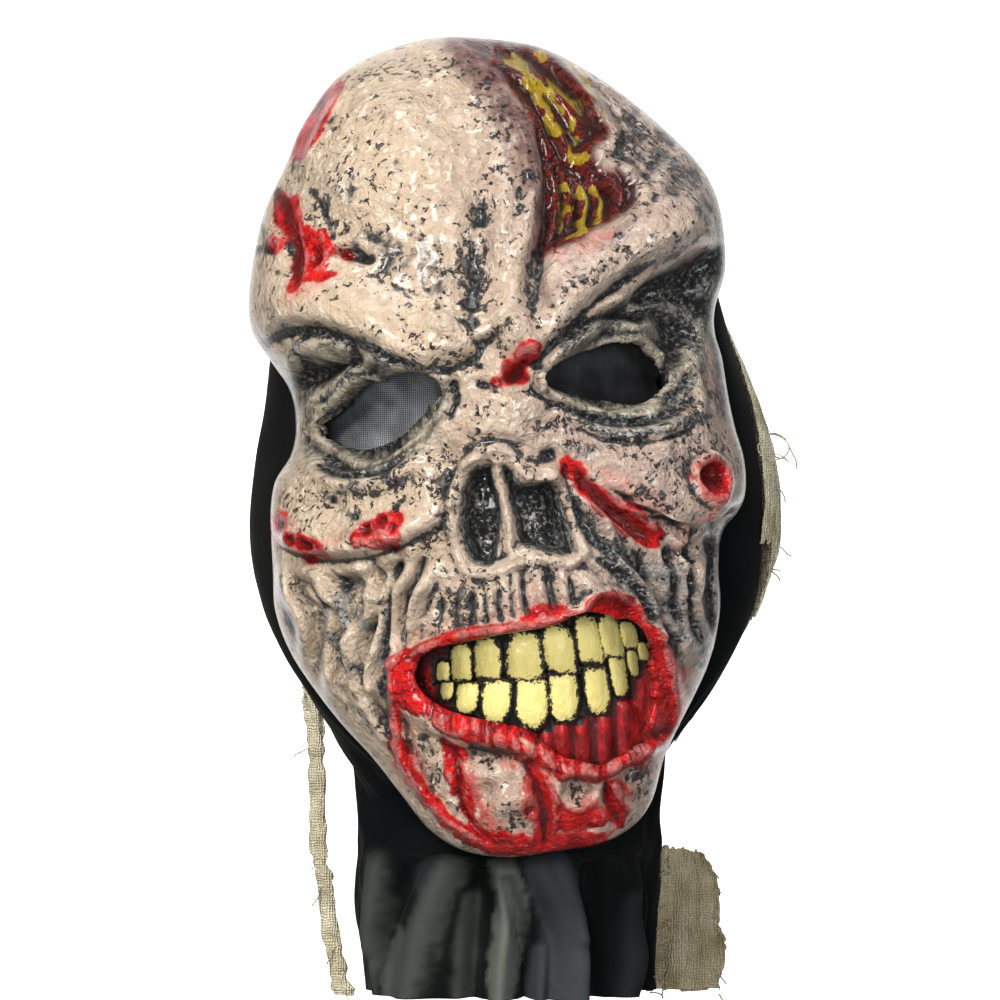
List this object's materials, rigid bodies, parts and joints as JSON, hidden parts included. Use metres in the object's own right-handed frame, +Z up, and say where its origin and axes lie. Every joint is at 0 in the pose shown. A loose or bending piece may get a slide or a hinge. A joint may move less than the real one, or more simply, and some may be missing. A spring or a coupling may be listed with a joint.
{
  "type": "zombie mask with hood",
  "caption": "Latex corpse-face mask with meshed eye holes, bared teeth, a black cloth hood over the back of the head and neck, and gauze tatters.",
  "frame": {"origin": "inside of the crown, where the casting meets the top of the wearer's head, in the plane of the face's outline", "axes": "+Z up along the worn head, -Y out of the face, +X to the right of a person who looks at the face"},
  "size_m": [0.1837, 0.2147, 0.3344],
  "materials": {
    "painted_latex": "satin painted latex, speckled black and grey, with gloss red paint in the wounds",
    "painted_teeth": "satin pale yellow paint with black between the teeth",
    "eye_mesh": "fine black woven mesh",
    "hood_cloth": "matte black stretch jersey",
    "gauze": "loose dyed cotton gauze with frayed edges"
  },
  "bodies": {
    "root": {"face_shell": "painted_latex", "eye_mesh_left": "eye_mesh", "eye_mesh_right": "eye_mesh", "upper_teeth": "painted_teeth", "lower_teeth": "painted_teeth", "hood": "hood_cloth", "gauze_left": "gauze", "gauze_right": "gauze", "gauze_neck": "gauze"}
  },
  "joints": []
}
